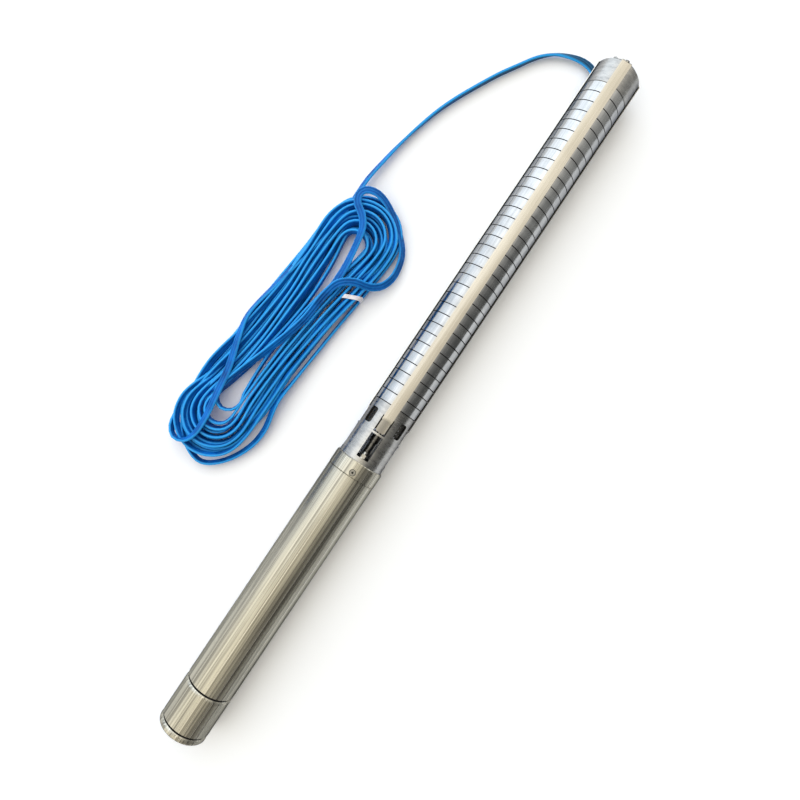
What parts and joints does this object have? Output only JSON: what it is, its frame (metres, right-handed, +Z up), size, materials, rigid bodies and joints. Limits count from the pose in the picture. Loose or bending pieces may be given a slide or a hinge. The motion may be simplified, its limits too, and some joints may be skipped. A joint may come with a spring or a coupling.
{
  "type": "borehole submersible pump",
  "caption": "Slim stainless borehole pump lying on its side: canned motor, windowed inlet section, ringed stack of impeller stages, threaded discharge head and a blue flat cable in a hank.",
  "frame": {"origin": "on the floor under the middle of the pump, whose upper end bell touches the floor", "axes": "+X along the pump towards the discharge, +Z up, +Y towards the cable hank"},
  "size_m": [1.48, 0.4032, 0.097],
  "materials": {
    "brushed_motor_steel": "long satin brush lines",
    "cast_stainless": "fine machined casting",
    "polished_stainless": "polished pressed sheet",
    "strap_steel": "smooth rolled strip",
    "fastener_steel": "turned",
    "shaft_steel": "ground",
    "black_rubber": "moulded",
    "bearing_carbon": "ground carbon",
    "motor_iron": "plain iron",
    "copper": "enamelled copper",
    "blue_cable": "extruded, lightly glossy",
    "white_tie": "smooth"
  },
  "bodies": {
    "pump": {"motor_bottom_cap": "brushed_motor_steel", "diaphragm": "black_rubber", "lower_bearing_housing": "brushed_motor_steel", "thrust_pad_carrier": "motor_iron", "thrust_pads": "bearing_carbon", "lower_bracket": "motor_iron", "lower_radial_bearing": "bearing_carbon", "motor_sleeve": "brushed_motor_steel", "stator_core": "motor_iron", "stator_windings": "copper", "stator_liner": "shaft_steel", "upper_end_bell": "brushed_motor_steel", "upper_radial_bearing": "bearing_carbon", "shaft_seal": "black_rubber", "filling_plug": "fastener_steel", "flange_studs": "fastener_steel", "flange_washers": "fastener_steel", "flange_nuts": "fastener_steel", "motor_plug": "black_rubber", "guarded_lead": "blue_cable", "suction_interconnector": "cast_stainless", "stage_chambers": "polished_stainless", "neck_rings": "black_rubber", "stage_bearings": "black_rubber", "valve_casing": "cast_stainless", "valve_seat": "cast_stainless", "valve_seat_seal": "black_rubber", "valve_guide": "cast_stainless", "valve_spring": "fastener_steel", "strap_top": "strap_steel", "strap_right": "strap_steel", "strap_bottom": "strap_steel", "strap_left": "strap_steel", "strap_bolts": "fastener_steel", "cable_guard": "polished_stainless", "guard_screws": "fastener_steel", "rope_lugs": "cast_stainless", "cable_lead": "blue_cable", "cable_hank": "blue_cable", "cable_tie": "white_tie"},
    "rotor": {"motor_shaft": "shaft_steel", "rotor_core": "motor_iron", "rotor_cage": "copper", "thrust_disc": "bearing_carbon", "sand_slinger": "black_rubber", "shaft_coupling": "shaft_steel", "pump_shaft": "shaft_steel", "impellers": "polished_stainless", "split_cones": "fastener_steel", "cone_nuts": "fastener_steel"},
    "valve": {"valve_cup": "cast_stainless"}
  },
  "joints": [
    {"name": "rotor_spin", "type": "hinge", "parent": "pump", "child": "rotor", "pos_m": [0, 0, 0.0485], "axis": [1, 0, 0], "continuous": true},
    {"name": "valve_lift", "type": "slide", "parent": "pump", "child": "valve", "axis": [1, 0, 0], "range_m": [0, 0.008], "stiffness_N_per_m": 400, "springref_m": -0.01, "deforming": ["valve_spring"]}
  ]
}
